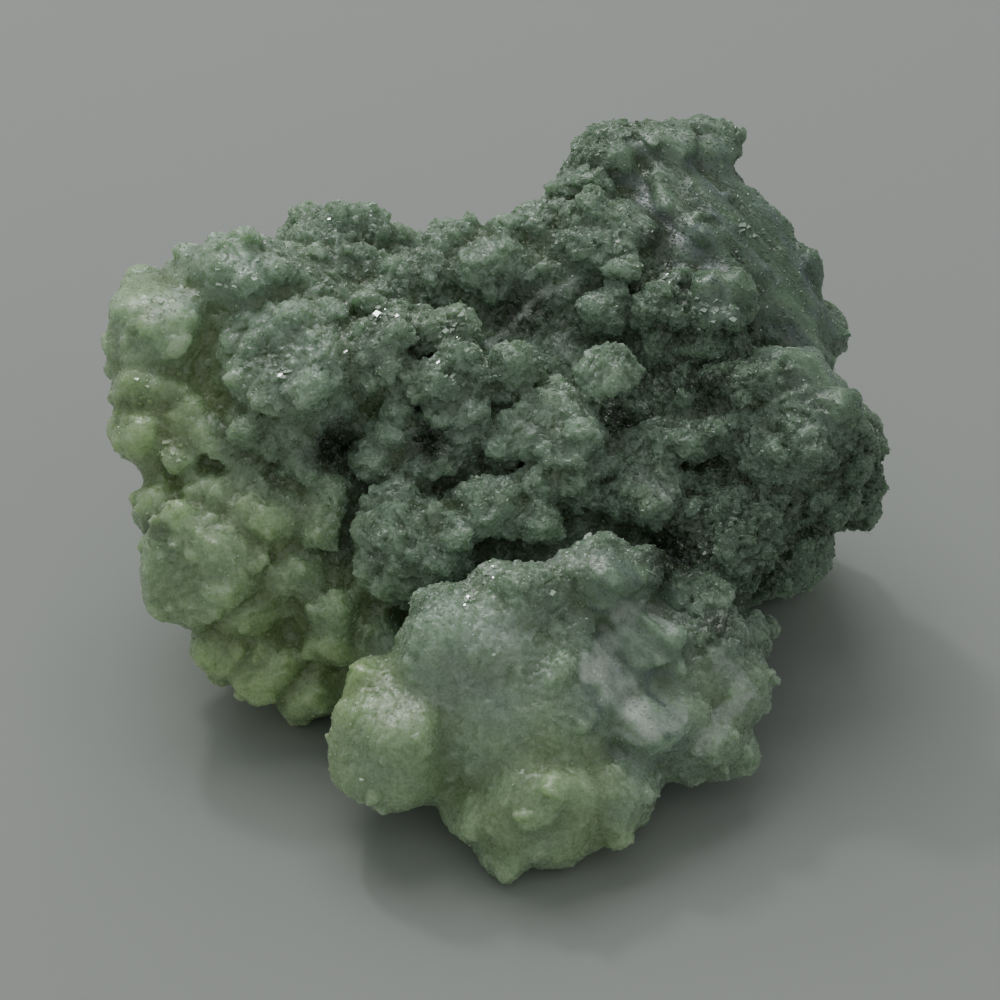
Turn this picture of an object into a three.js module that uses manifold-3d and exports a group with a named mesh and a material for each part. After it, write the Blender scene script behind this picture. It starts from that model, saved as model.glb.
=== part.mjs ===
// Prehnite with byssolite: one hand specimen, a heap of intergrown green crystal aggregates.
//
// Pale, rounded prehnite grows on the left and in a lobe at the front. Grey-green aggregates full of
// byssolite, with small tabular crystals, cover the top and the right, and a fibrous slope runs down
// from the peak. All of it grew together, so it is one solid.
//
// Units are millimetres, +Z is up, +X is to the right and +Y points to the back. The origin is on the
// surface that the stone lies on, below the middle of its bounding box.

import * as THREE from "three";
import { mergeVertices } from "three/addons/utils/BufferGeometryUtils.js";
import Module from "manifold-3d";

// The crystal-covered face leans back from the front of the stone. A place on it is given by three
// lengths: across to the right, up the slope, and proud of the sloping plane.
const FACE_SLOPE_DEG = 52;
const FACE_HEIGHT = 18;

// The two masses of the stone. Each is a ball whose corners are pushed outward, along lines that run
// from an inner to an outer ellipsoid, until they leave the last aggregate on their way. The upper
// part of both ellipsoids leans back. The corners lie closer together on the crystal-covered side.
const MAIN_MASS = {
  middle: [0, 10, 14],
  inner: [17, 5, 8],
  outer: [31, 18, 18],
  lean: 0.45,
  detail: 12,
};
const FRONT_MASS = {
  middle: [4, -11, 8.5],
  inner: [6, 4, 3],
  outer: [17, 14, 12],
  lean: 0,
  detail: 7,
};
const FRONT_DENSITY = 0.25;

// The surface falls no more than this in millimetres from one corner to the next.
const STEEPEST_FALL = 3.4;

// How uneven the surface is in millimetres, and lumps and crystals as a share of their size.
const SURFACE_ROUGHNESS = 0.22;
const LUMP_ROUGHNESS = 0.05;
const CRYSTAL_ROUGHNESS = 0.12;

// Corners closer than MERGE_WITHIN are one corner, the solid is simplified where that moves it less
// than TOLERANCE, and one seed sets all that is random.
const MERGE_WITHIN = 1e-4;
const TOLERANCE = 0.2;
const SEED = 20260;

// Bodies that fill the stone behind its crystals, in the stone's own axes:
// [x, y, z, half width, half depth, half height].
const BODIES = [
  [-12, 9, 12.2, 14, 10.5, 12],
  [0, 9, 12.2, 13, 10.5, 12],
  [13, 10, 12.7, 13, 11, 12.5],
  [13, 18, 21, 9, 8, 12],
  [14.5, 20.5, 22, 7, 6, 10.5],
  [-15, 15, 18, 11, 8, 9],
  [-2, 14, 20, 12, 8, 8],
  [19, 13, 8, 9, 8, 9],
  [-12, -2, 5, 8, 6, 6],
  [3, -3, 7, 11, 6.5, 6.8],
];
const FRONT_BODIES = [
  [2, -13, 8, 9, 8.5, 8.5],
  [10, -9, 7.5, 9, 8, 8],
];

// Bodies that fill the face between its crystals, as [across, up, proud] and half sizes.
const FACE_FILL = [
  [-20, 10, -6, 8, 8, 6.2],
  [-20, -3, -6, 7, 8, 6],
  [-9, 10, -5, 9, 8, 5.8],
  [-9, -4, -5, 9, 8, 6],
  [1, 15, -8, 9, 6, 6.4],
  [2, 6, -5, 9, 9, 5.6],
  [4, -3, -4, 10, 6, 5.6],
  [13, 16, -8, 10, 10, 7.5],
  [15, 4, -5.5, 9, 9, 6],
];

// Rounded aggregates on the face: [across, up, proud, half width, half height, half depth].
// The largest stand clear of their neighbours.
const STANDING_LUMPS = [
  [-26.2, 12.7, -3, 4.7, 5, 6],
  [-22.3, -4.6, -1.2, 5.8, 5.5, 6],
  [-15.4, 9.6, 1, 6.2, 5.2, 5],
  [-6.5, -3.8, 1.8, 4.6, 4.2, 4.2],
  [22.3, 5.4, -0.4, 5.4, 5.8, 5.5],
  [17.3, -2.3, -1.2, 4.8, 4.5, 5],
];

const LEFT_LUMPS = [
  [-26.6, 8.8, -2, 3.6, 3.6, 4.5],
  [-24.2, 16.3, -3.5, 3, 2.8, 4],
  [-20, 17.2, -1.8, 4.5, 3.5, 5],
  [-23.5, 17.6, -3, 2.4, 2.4, 3],
  [-16.8, 14.8, -0.8, 2.2, 1.6, 2.5],
  [-26.9, 5.4, -1.8, 3.3, 3.4, 4],
  [-23.8, 5.8, -0.8, 3.6, 2.6, 3.5],
  [-25.4, -0.8, -1.8, 3, 3, 4],
  [-21.2, 0.8, -0.7, 4, 2.4, 3.5],
  [-17.8, -1.2, 1.2, 4, 2.8, 3],
  [-20, -8.1, -0.8, 3.2, 2.9, 3.5],
  [-16.5, -5.8, 0.2, 3.6, 2.3, 3],
  [-21.2, -11.5, -3.8, 3, 3.1, 4],
  [-18, -13, -3.6, 3.5, 3.1, 4],
  [-15, -14.6, -4.6, 3, 2.8, 4],
  [-12.7, -8.6, 1, 2.3, 2, 2.4],
  [-12.9, -11.1, 0.2, 2.3, 1.9, 2.4],
  [-9.6, -10.8, -1.5, 2.8, 3, 3.5],
];

const MIDDLE_LUMPS = [
  [-11.2, 10.4, 1.4, 3.4, 3.4, 3.4],
  [-17.3, 5.6, 1.2, 3.4, 3, 3.5],
  [-13.5, 13.7, 1.5, 2, 1.7, 2.2],
  [-20.6, 13.5, 0, 1.7, 1.9, 2],
  [-19.6, 11.5, 0.4, 2.7, 2.7, 3],
  [-15.5, 3.5, 1.8, 2, 1.9, 2],
  [-13.5, 1, 1, 2.2, 1.3, 1.8],
];

const BACK_LEFT_LUMPS = [
  [-13.1, 19.6, -9, 5, 3.6, 5],
  [-8.8, 20, -10, 2.3, 2.3, 3],
  [-12, 18, -5.5, 4, 2.4, 3],
  [-14.6, 16.9, -4, 2.4, 1.7, 2.5],
  [-8, 16.5, -4, 3, 2, 2.5],
];

const CENTRE_LUMPS = [
  [-3.8, 19.4, -5, 2.7, 2.1, 3],
  [0, 20.4, -5, 2.3, 1.8, 2.5],
  [3.5, 21.7, -5.5, 2.5, 1.8, 2.5],
  [-5.4, 17.5, -3.8, 2.3, 1.6, 2.2],
  [-0.8, 18.1, -3.2, 3.6, 2.4, 3],
  [-5.4, 13, 0.4, 3.9, 1.6, 2.4],
  [-0.4, -0.6, 1.8, 4, 2.3, 2.6],
  [-3.6, 5.5, 1, 3.2, 2.6, 2.2],
];

const RIGHT_LUMPS = [
  [8, 20.2, -4.2, 4.6, 3.5, 4],
  [6.9, 24, -6.8, 2.7, 2.2, 3],
  [8.5, 26.8, -8.2, 3.2, 2.5, 3.5],
  [13, 27.5, -8.8, 3.3, 2.6, 3.7],
  [16.4, 27.4, -9.8, 2.4, 2.6, 3.6],
  [24.2, 18.6, -7.5, 1.8, 1.7, 3],
  [26.4, 13, -8.2, 1.8, 2.4, 3.5],
  [17.3, 15.4, 0.8, 2.8, 2.6, 2.6],
  [19.6, 8.5, 1.2, 3.7, 2.5, 3],
  [25, 2.3, -1.8, 2.7, 4.2, 4],
  [22.3, -4.6, -4.2, 3.5, 2.7, 4],
  [11.2, 0.8, 1.2, 3.2, 3.2, 2.6],
  [27.8, 3.4, -11.5, 2.9, 5.6, 5],
  [25.2, -0.4, -12.5, 2.6, 3, 5],
];

const FRONT_LUMPS = [
  [-8.1, -18.2, 7, 5.2, 5.4, 5.5],
  [-9.2, -14.4, 6.2, 3.1, 2.7, 3.5],
  [-2.3, -11.5, 7.4, 5.6, 5, 5],
  [1.5, -7.7, 6.8, 4.6, 3.5, 4],
  [7.7, -6.2, 5.8, 4.6, 3, 4],
  [3, -22.6, 7.6, 5.3, 5, 5.5],
  [0.8, -26.4, 7.4, 2.4, 2.1, 3],
  [-1.5, -23.8, 6.6, 2.9, 2.8, 4],
  [7.7, -21.9, 6, 4.6, 3.9, 5],
  [11.5, -16.8, 6, 4.6, 3.2, 4],
  [14.6, -18.2, 3, 4.6, 3.4, 4.5],
  [18, -14.4, 1.6, 2.9, 3.8, 4],
  [19.2, -10.6, -0.8, 1.8, 2.3, 3],
  [14.6, -10.8, 3.6, 4.2, 3.4, 3.5],
  [14.2, -6.5, 2.2, 4, 3, 2],
  [10.8, -11.5, 5.6, 3.2, 3.2, 3.5],
];

// Tabular crystals: [across, up, proud, half length, half width, half thickness, spin, tilt, lean].
// Spin turns a crystal in the sloping plane, tilt leans its upper edge back, and lean brings its right
// edge out.
const PLATES = [
  [4.3, 5.3, 3, 4.4, 3.5, 1.6, -42, 14, 14],
  [6.5, 1.7, 2, 3.2, 2.7, 2, -50, -16, -24],
  [-3.4, 6.9, 2.6, 3, 2.2, 1.3, 15, 20, 0],
  [-5.4, 13, 1.8, 3.8, 1.6, 0.9, 8, 35, 0],
  [-3.6, 11.9, 1.9, 2.5, 1.2, 0.6, -10, 45, 0],
  [1.4, 10.2, 2.2, 1.9, 1.7, 1.6, 20, 20, 20],
  [-8, 5.4, 2.2, 2.1, 1.8, 1.5, 30, 20, -10],
  [-9.9, 3, 2.4, 1.7, 1.4, 1.2, -20, 30, 10],
  [-1.9, 9.4, 2.2, 1.7, 1.5, 1.2, 0, 30, 10],
  [0.2, 4.4, 2, 1.3, 2.3, 1, 10, 0, -20],
  [13.8, 4.7, 1.8, 4.6, 2, 1, 12, 32, 8],
  [11.1, 0.9, 2.9, 3, 2.6, 1.4, -20, 8, 0],
  [9.4, 3.9, 2.2, 2, 1.5, 1.1, 30, 20, 0],
  [12.5, 15, 0.9, 2.3, 1.9, 1.5, 10, 10, -20],
  [8.2, 14.6, 0.2, 2, 1.7, 1.3, -30, 10, 10],
  [8.2, 20, -1.3, 4.3, 3.1, 1.7, -58, 14, 6],
  [-8.2, -0.2, 3.2, 2.7, 1.8, 1.2, 12, 20, 0],
  [-9.1, -3.2, 4, 2.9, 1.7, 1.2, 78, 0, -25],
  [-4.3, -2.4, 4.6, 2.7, 2.3, 1.2, -10, 14, 18],
  [-6.8, -6, 4.3, 2.7, 1.6, 1.2, -12, -24, 0],
  [-13.3, -0.9, 3, 3.3, 1.5, 1, 80, 0, -15],
  [-5.2, -7.6, 3.2, 2.9, 1.3, 0.9, 76, 10, 20],
  [-0.6, 0.4, 3.6, 2.6, 1.5, 1.1, 6, 26, 0],
  [2.9, -1.6, 3.6, 2.2, 1.7, 1.2, -24, 20, 20],
  [13.4, -6.1, 3.9, 5.3, 1.9, 0.7, -33, 48, 0],
  [-9, 11.9, 4, 3, 1.6, 1, 22, 20, 30],
  [-8.2, 9.2, 3.2, 2.3, 1.5, 1, -8, -20, 25],
  [-10, 15, 2.4, 1.5, 1.1, 0.8, -28, 16, 20],
  [-21.9, 4.7, 2.6, 1.9, 1.5, 0.7, -52, 20, -20],
  [-19.6, 2.3, 2.6, 2, 0.8, 0.6, -40, 0, 20],
  [-24.5, 3.2, 2.2, 1.6, 1.2, 0.8, 20, 30, -10],
  [-23.8, 9.6, 1.6, 1.5, 0.5, 0.4, -42, 0, 0],
];

// Sheaves of crystals that spread like a fan from a shared edge:
// [across, up, proud, half length, half width, half thickness, spin, tilt, lean, count, spread].
const SHEAVES = [
  [8.7, 9, 2.8, 2.7, 2.2, 0.45, 24, -64, 0, 4, 66],
  [-5.7, 8.6, 1.8, 3.2, 2.2, 0.5, 4, -72, 0, 3, 40],
  [15.4, 11.3, 0.8, 1.9, 1.8, 0.42, -48, -60, 0, 3, 56],
  [-5.2, 2.6, 1.2, 2.9, 1.8, 0.45, 22, -70, 0, 3, 50],
];

// Ridges of the fibrous slope: [across, up, proud] of the upper end, then of the lower end, and the
// half width.
const FIBROUS_RIDGES = [
  [[10, 25, -6.8], [18, 15.5, -2.2], 2.4],
  [[12.5, 26.5, -7.2], [21.5, 15, -3.2], 2.8],
  [[15.5, 27, -8.5], [25, 15, -5.5], 2.6],
  [[19, 22.5, -7], [26, 10, -5.8], 2.4],
  [[21.5, 18, -4.5], [25.5, 8, -3.5], 2.2],
];

// Blades of fibre that stand out along the slope, in the same form.
const FIBROUS_BLADES = [
  [[12.4, 24.6, -3.9], [18.6, 17.2, -0.6], 0.9],
  [[16.4, 25, -5.2], [23, 15.6, -2.6], 1],
  [[19.8, 21.6, -4.6], [25.6, 11.8, -4], 0.9],
  [[23, 17.6, -4.2], [26, 8.6, -3.4], 0.8],
];

// Hollows between the aggregates: [across, up, proud, half width, half height, half depth].
const HOLLOWS = [
  [-12.9, 4, 3.8, 1.9, 2.6, 2.6],
  [-5.6, 4.2, 3.4, 2.6, 1.1, 2.4],
  [13.6, -3.4, 4.6, 1.6, 2.8, 3],
  [12.4, 21, -2.2, 1, 3, 2.2],
  [1.6, 15.6, 0.6, 4.2, 1.1, 2.6],
  [-26.4, -2.4, 3.2, 1.5, 1.7, 1.6],
  [5, -16.6, 12, 3.2, 1.1, 2.4],
  [15.8, 8.6, 2.6, 2.6, 0.9, 1.6],
];

// Aggregates that small crystals are scattered over: [across, up, proud, half width, half height,
// half depth, number of crystals].
const SUGARED_AREAS = [
  [22.3, 5.4, -0.4, 5.4, 5.8, 5.5, 11],
  [17.3, -2.3, -1.2, 4.8, 4.5, 5, 5],
  [17.3, 15.4, 0.8, 2.8, 2.6, 2.6, 4],
  [-11.8, 9.8, 1.6, 4, 4.4, 3.6, 5],
  [-0.8, 18.1, -3.2, 3.6, 2.4, 3, 4],
  [-4.6, 18.6, -4.6, 3.4, 2.4, 3, 4],
  [7.6, 25, -7.2, 3.6, 3.4, 3.2, 4],
  [-11.4, 17.8, -5.4, 4, 2.6, 3, 4],
  [-6.5, -3.8, 1.8, 4.6, 4.2, 4.2, 4],
  [-19.4, 17, -1.8, 4, 3.3, 5, 3],
];
const SMALL_CRYSTAL = [0.55, 0.95];
const CRYSTAL_ASPECT = [1, 0.8, 0.5];

// Proportions: a plate's narrower face, how far a sheaf's plates stand off their shared edge, how far
// a ridge runs on past its middle as a share of its length, and how thin a blade is for its width.
const PLATE_TAPER = 0.9;
const SHEAF_OFFSET = 0.6;
const RIDGE_OVERLAP = 0.62;
const BLADE_THINNESS = 0.6;

// The side that faces away from the crystals has low, broad lumps of this size.
const BACK_LUMPS_PER_BODY = 15;
const BACK_LUMP = [3.2, 5];
const BACK_LUMP_HEIGHT = 0.42;
const BACK_LIMIT = -0.25;

// A block larger than the stone.
const SLAB = 200;

const rad = THREE.MathUtils.degToRad;
const wasm = await Module();
wasm.setup();

// A repeatable random number from 0 to 1.
function makeRandom(seed) {
  let state = seed >>> 0;
  return () => {
    state = (state + 0x6d2b79f5) >>> 0;
    let t = state;
    t = Math.imul(t ^ (t >>> 15), t | 1);
    t ^= t + Math.imul(t ^ (t >>> 7), t | 61);
    return ((t ^ (t >>> 14)) >>> 0) / 4294967296;
  };
}
const random = makeRandom(SEED);
const between = (low, high) => low + (high - low) * random();

// The sloping face's own axes: across, up the slope and out of it.
const slope = rad(FACE_SLOPE_DEG);
const faceOutward = new THREE.Vector3(0, -Math.sin(slope), Math.cos(slope));
const faceMatrix = new THREE.Matrix4()
  .makeBasis(
    new THREE.Vector3(1, 0, 0),
    new THREE.Vector3(0, Math.cos(slope), Math.sin(slope)),
    faceOutward,
  )
  .setPosition(0, 0, FACE_HEIGHT);
const onFace = (place) => new THREE.Vector3(...place).applyMatrix4(faceMatrix);

// A closed geometry with its shared corners merged.
const merged = (geometry) =>
  mergeVertices(geometry.deleteAttribute("normal").deleteAttribute("uv"), MERGE_WITHIN);

// A merged geometry as a solid that can be joined and cut.
const solidFrom = (geometry) =>
  new wasm.Manifold(
    new wasm.Mesh({
      numProp: 3,
      vertProperties: geometry.attributes.position.array,
      triVerts: new Uint32Array(geometry.index.array),
    }),
  );

// A closed shape whose corners are moved in and out a little, put in place by the matrix.
function uneven(geometry, roughness, matrix) {
  const shape = merged(geometry);
  const corners = shape.attributes.position;
  const corner = new THREE.Vector3();
  for (let i = 0; i < corners.count; i++) {
    corner.fromBufferAttribute(corners, i);
    corner.multiplyScalar(1 + between(-roughness, roughness));
    corners.setXYZ(i, corner.x, corner.y, corner.z);
  }
  return solidFrom(shape.applyMatrix4(matrix));
}

// A tabular crystal with five to seven cut sides, of unit half sizes and with its flat face across Z.
function plate(matrix) {
  const sides = Math.round(between(5, 7));
  const prism = new THREE.CylinderGeometry(PLATE_TAPER, 1, 2, sides);
  prism.rotateY(between(0, Math.PI)).rotateX(Math.PI / 2);
  return uneven(prism, CRYSTAL_ROUGHNESS, matrix);
}

// A small crystal is a brick.
const brick = (matrix) => uneven(new THREE.BoxGeometry(2, 2, 2), CRYSTAL_ROUGHNESS, matrix);

// A standing lump is a ball with coarse facets.
const standing = (matrix) => uneven(new THREE.IcosahedronGeometry(1, 2), LUMP_ROUGHNESS, matrix);

function placed(across, up, proud, turn, scale) {
  return faceMatrix.clone().multiply(
    new THREE.Matrix4().compose(new THREE.Vector3(across, up, proud), turn, scale),
  );
}

function turned(spin, tilt, lean) {
  return new THREE.Quaternion().setFromEuler(
    new THREE.Euler(rad(-tilt), rad(-lean), rad(spin), "XYZ"),
  );
}

const unturned = new THREE.Quaternion();

// The unit ball's matrix for an aggregate on the face, and for a body in the stone's own axes.
const faceBall = ([across, up, proud, wide, tall, deep]) =>
  placed(across, up, proud, unturned, new THREE.Vector3(wide, tall, deep));
const bodyBall = ([x, y, z, wide, deep, tall]) =>
  new THREE.Matrix4()
    .makeTranslation(x, y, z)
    .multiply(new THREE.Matrix4().makeScale(wide, deep, tall));

function facePlate([across, up, proud, long, wide, thick, spin, tilt, lean]) {
  const scale = new THREE.Vector3(long, wide, thick);
  return plate(placed(across, up, proud, turned(spin, tilt, lean), scale));
}

// The plates of a sheaf share their back edge and spread evenly around their long axis.
function sheaf([across, up, proud, long, wide, thick, spin, tilt, lean, count, spread]) {
  const whole = placed(across, up, proud, turned(spin, tilt, lean), new THREE.Vector3(1, 1, 1));
  const plates = [];
  for (let i = 0; i < count; i++) {
    const angle = rad(spread * (i / (count - 1) - 0.5));
    const fan = new THREE.Matrix4()
      .makeRotationX(angle)
      .multiply(new THREE.Matrix4().makeTranslation(0, wide * SHEAF_OFFSET, 0))
      .multiply(new THREE.Matrix4().makeScale(long, wide, thick));
    plates.push(plate(whole.clone().multiply(fan)));
  }
  return plates;
}

// The matrix of a ridge or a blade: long from one place on the face to another, and as thick as told.
function alongSlope([upper, lower, halfWidth], thickness = 1) {
  const from = onFace(upper);
  const to = onFace(lower);
  const along = to.clone().sub(from);
  const turn = new THREE.Quaternion().setFromUnitVectors(
    new THREE.Vector3(1, 0, 0),
    along.clone().normalize(),
  );
  const matrix = new THREE.Matrix4().compose(
    from.clone().add(to).multiplyScalar(0.5),
    turn,
    new THREE.Vector3(along.length() * RIDGE_OVERLAP, halfWidth, halfWidth * thickness),
  );
  return matrix;
}

// Small crystals that stand on the outer half of an aggregate.
function sugar([across, up, proud, wide, tall, deep, count]) {
  const crystals = [];
  for (let i = 0; i < count; i++) {
    const around = between(0, 2 * Math.PI);
    const lift = between(0.1, 1);
    const rim = Math.sqrt(1 - lift * lift);
    const place = [
      across + wide * rim * Math.cos(around),
      up + tall * rim * Math.sin(around),
      proud + deep * lift,
    ];
    const size = between(...SMALL_CRYSTAL);
    const turn = new THREE.Quaternion().setFromEuler(
      new THREE.Euler(between(-1, 1), between(-1, 1), between(0, Math.PI)),
    );
    const scale = new THREE.Vector3(...CRYSTAL_ASPECT).multiplyScalar(size);
    crystals.push(brick(placed(...place, turn, scale)));
  }
  return crystals;
}

// Broad, low lumps on the parts of a body that face away from the crystals.
function backBalls([x, y, z, wide, deep, tall]) {
  const lumps = [];
  for (let i = 0; i < BACK_LUMPS_PER_BODY; i++) {
    const height = 1 - (2 * (i + 0.5)) / BACK_LUMPS_PER_BODY;
    const around = i * Math.PI * (3 - Math.sqrt(5));
    const rim = Math.sqrt(1 - height * height);
    const outward = new THREE.Vector3(rim * Math.cos(around), rim * Math.sin(around), height);
    if (outward.dot(faceOutward) > BACK_LIMIT) {
      continue;
    }
    const place = new THREE.Vector3(
      x + wide * outward.x,
      y + deep * outward.y,
      z + tall * outward.z,
    );
    const size = between(...BACK_LUMP);
    const turn = new THREE.Quaternion().setFromUnitVectors(new THREE.Vector3(0, 0, 1), outward);
    const scale = new THREE.Vector3(size, size * between(0.7, 1), size * BACK_LUMP_HEIGHT);
    lumps.push(new THREE.Matrix4().compose(place, turn, scale));
  }
  return lumps;
}

// Where a line from a start enters and leaves a unit ball placed by a matrix, or null if it misses.
function crossing(start, direction, inverse) {
  const from = start.clone().applyMatrix4(inverse);
  const step = start.clone().add(direction).applyMatrix4(inverse).sub(from);
  const a = step.dot(step);
  const b = from.dot(step);
  const c = from.dot(from) - 1;
  const inside = b * b - a * c;
  if (inside <= 0) {
    return null;
  }
  const root = Math.sqrt(inside);
  return [(-b - root) / a, (-b + root) / a];
}

// How far a line goes before it leaves the last ball, cut back to where it enters a hollow.
function reachOf(start, direction, balls, hollows) {
  let reach = 0;
  for (const inverse of balls) {
    const found = crossing(start, direction, inverse);
    if (found && found[1] > reach) {
      reach = found[1];
    }
  }
  for (const inverse of hollows) {
    const found = crossing(start, direction, inverse);
    if (found && found[0] > 0 && found[0] < reach && found[1] > reach) {
      reach = found[0];
    }
  }
  return reach;
}

// Raises the low corner of each edge that falls too steeply.
function easeFalls(reaches, corners) {
  const highest = Float64Array.from(reaches);
  for (let i = 0; i < corners.length; i += 3) {
    for (const [a, b] of [[0, 1], [1, 2], [2, 0]]) {
      const from = corners[i + a];
      const to = corners[i + b];
      highest[from] = Math.max(highest[from], reaches[to] - STEEPEST_FALL);
      highest[to] = Math.max(highest[to], reaches[from] - STEEPEST_FALL);
    }
  }
  return highest;
}

// A mass of the stone, grown over its aggregates and hollowed by the hollows.
function grown({ middle, inner, outer, lean, detail }, balls) {
  const inverses = balls.map((ball) => ball.clone().invert());
  const hollows = HOLLOWS.map((hollow) => faceBall(hollow).invert());
  const ball = merged(new THREE.IcosahedronGeometry(1, detail));
  const corners = ball.attributes.position;
  const starts = [];
  const directions = [];
  for (let i = 0; i < corners.count; i++) {
    const outward = new THREE.Vector3().fromBufferAttribute(corners, i).normalize();
    outward.addScaledVector(faceOutward, FRONT_DENSITY).normalize();
    const on = (size) =>
      new THREE.Vector3(
        middle[0] + size[0] * outward.x,
        middle[1] + size[1] * outward.y + lean * size[2] * outward.z,
        middle[2] + size[2] * outward.z,
      );
    starts.push(on(inner));
    directions.push(on(outer).sub(starts[i]).normalize());
  }
  const found = starts.map((start, i) => reachOf(start, directions[i], inverses, hollows));
  const reaches = easeFalls(found, ball.index.array);
  for (let i = 0; i < corners.count; i++) {
    const reach = reaches[i] + between(-SURFACE_ROUGHNESS, SURFACE_ROUGHNESS);
    const place = starts[i].addScaledVector(directions[i], reach);
    corners.setXYZ(i, place.x, place.y, place.z);
  }
  return solidFrom(ball);
}

const mainBalls = [
  ...BODIES.map(bodyBall),
  ...BODIES.flatMap(backBalls),
  ...[FACE_FILL, LEFT_LUMPS, MIDDLE_LUMPS, BACK_LEFT_LUMPS, CENTRE_LUMPS, RIGHT_LUMPS].flatMap(
    (list) => list.map(faceBall),
  ),
  ...FIBROUS_RIDGES.map((ridge) => alongSlope(ridge)),
];
const frontBalls = [...FRONT_BODIES.map(bodyBall), ...FRONT_LUMPS.map(faceBall)];
const crystals = [
  ...PLATES.map(facePlate),
  ...SHEAVES.flatMap(sheaf),
  ...FIBROUS_BLADES.map((blade) => plate(alongSlope(blade, BLADE_THINNESS))),
  ...SUGARED_AREAS.flatMap(sugar),
];

// The surface that the stone lies on cuts its lowest lumps flat.
const below = solidFrom(
  merged(new THREE.BoxGeometry(SLAB, SLAB, SLAB).translate(0, 0, -SLAB / 2)),
);
const joined = wasm.Manifold.union([
  grown(MAIN_MASS, mainBalls),
  grown(FRONT_MASS, frontBalls),
  ...STANDING_LUMPS.map((row) => standing(faceBall(row))),
  ...crystals,
])
  .subtract(below)
  .simplify(TOLERANCE);
const stone = joined
  .decompose()
  .reduce((a, b) => (a.volume() > b.volume() ? a : b));

function geometryOf(solid) {
  const mesh = solid.getMesh();
  const geometry = new THREE.BufferGeometry();
  geometry.setAttribute(
    "position",
    new THREE.BufferAttribute(mesh.vertProperties, mesh.numProp),
  );
  geometry.setIndex(new THREE.BufferAttribute(mesh.triVerts, 1));
  geometry.computeVertexNormals();
  geometry.computeBoundingBox();
  return geometry;
}

const prehnite = new THREE.Mesh(
  geometryOf(stone),
  new THREE.MeshStandardMaterial({
    color: new THREE.Color(0.42, 0.5, 0.4),
    roughness: 0.45,
    metalness: 0,
  }),
);
prehnite.name = "prehnite_with_byssolite";
const middle = prehnite.geometry.boundingBox.getCenter(new THREE.Vector3());
prehnite.position.set(-middle.x, -middle.y, 0);

const specimen = new THREE.Group();
specimen.add(prehnite);
export default specimen;
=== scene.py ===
# Prehnite with byssolite: the looks of one hand specimen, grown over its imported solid.
#
# The stone has two skins, each one closed mesh: the whole stone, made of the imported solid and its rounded
# aggregates, and the milky lobe in front. Both are broken into small crystal faces, and thousands of
# separate crystals and fibres stand on them as real geometry.
#
# Lengths are in millimetres until a mesh is finished, and in metres from there on.

import math

import bmesh
import bpy
import numpy as np
from mathutils import Euler, Matrix, Vector
from mathutils.bvhtree import BVHTree


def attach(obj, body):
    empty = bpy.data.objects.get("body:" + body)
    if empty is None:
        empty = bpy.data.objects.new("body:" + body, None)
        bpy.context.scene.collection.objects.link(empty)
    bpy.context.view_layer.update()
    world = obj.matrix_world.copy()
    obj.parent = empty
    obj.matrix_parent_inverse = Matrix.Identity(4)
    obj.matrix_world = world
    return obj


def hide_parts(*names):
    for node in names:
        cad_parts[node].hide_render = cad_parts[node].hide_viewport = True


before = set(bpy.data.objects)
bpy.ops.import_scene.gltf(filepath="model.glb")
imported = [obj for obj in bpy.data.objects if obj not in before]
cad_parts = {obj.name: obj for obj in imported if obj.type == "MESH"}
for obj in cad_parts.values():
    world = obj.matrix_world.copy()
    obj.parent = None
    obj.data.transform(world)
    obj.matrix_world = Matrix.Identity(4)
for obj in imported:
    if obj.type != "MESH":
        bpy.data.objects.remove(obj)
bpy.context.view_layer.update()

NODE = "prehnite_with_byssolite"
BODY = "root"
METRES = 0.001
SEED = 20260

# The crystal-covered face leans back from the front of the stone. A place on it is given by three
# lengths: across to the right, up the slope, and proud of the sloping plane.
FACE_SLOPE_DEG = 52
FACE_ORIGIN = (0.0743, -1.4753, 18)

# The camera looks straight at that face.
CAMERA_DISTANCE = 300
SENSOR_WIDTH = 36
PIXELS_PER_MM = 13
IMAGE_SIZE = 1000

# Rounded aggregates: [across, up, proud, half width, half height, half depth].
LEFT_LUMPS = [
    [-26.2, 12.7, -3, 4.7, 5, 6],
    [-22.3, -4.6, -1.2, 5.8, 5.5, 6],
    [-26.6, 8.8, -2, 3.6, 3.6, 4.5],
    [-24.2, 16.3, -3.5, 3, 2.8, 4],
    [-20, 17.2, -1.8, 4.5, 3.5, 5],
    [-23.5, 17.6, -3, 2.4, 2.4, 3],
    [-16.8, 14.8, -0.8, 2.2, 1.6, 2.5],
    [-26.9, 5.4, -1.8, 3.3, 3.4, 4],
    [-23.8, 5.8, -0.8, 3.6, 2.6, 3.5],
    [-25.4, -0.8, -1.8, 3, 3, 4],
    [-21.2, 0.8, -0.7, 4, 2.4, 3.5],
    [-17.8, -1.2, 1.2, 4, 2.8, 3],
    [-20, -8.1, -0.8, 3.2, 2.9, 3.5],
    [-16.5, -5.8, 0.2, 3.6, 2.3, 3],
    [-21.2, -11.5, -3.8, 3, 3.1, 4],
    [-18, -13, -3.6, 3.5, 3.1, 4],
    [-15, -14.6, -4.6, 3, 2.8, 4],
    [-12.7, -8.6, 1, 2.3, 2, 2.4],
    [-12.9, -11.1, 0.2, 2.3, 1.9, 2.4],
    [-9.6, -10.8, -1.5, 2.8, 3, 3.5],
]
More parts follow.
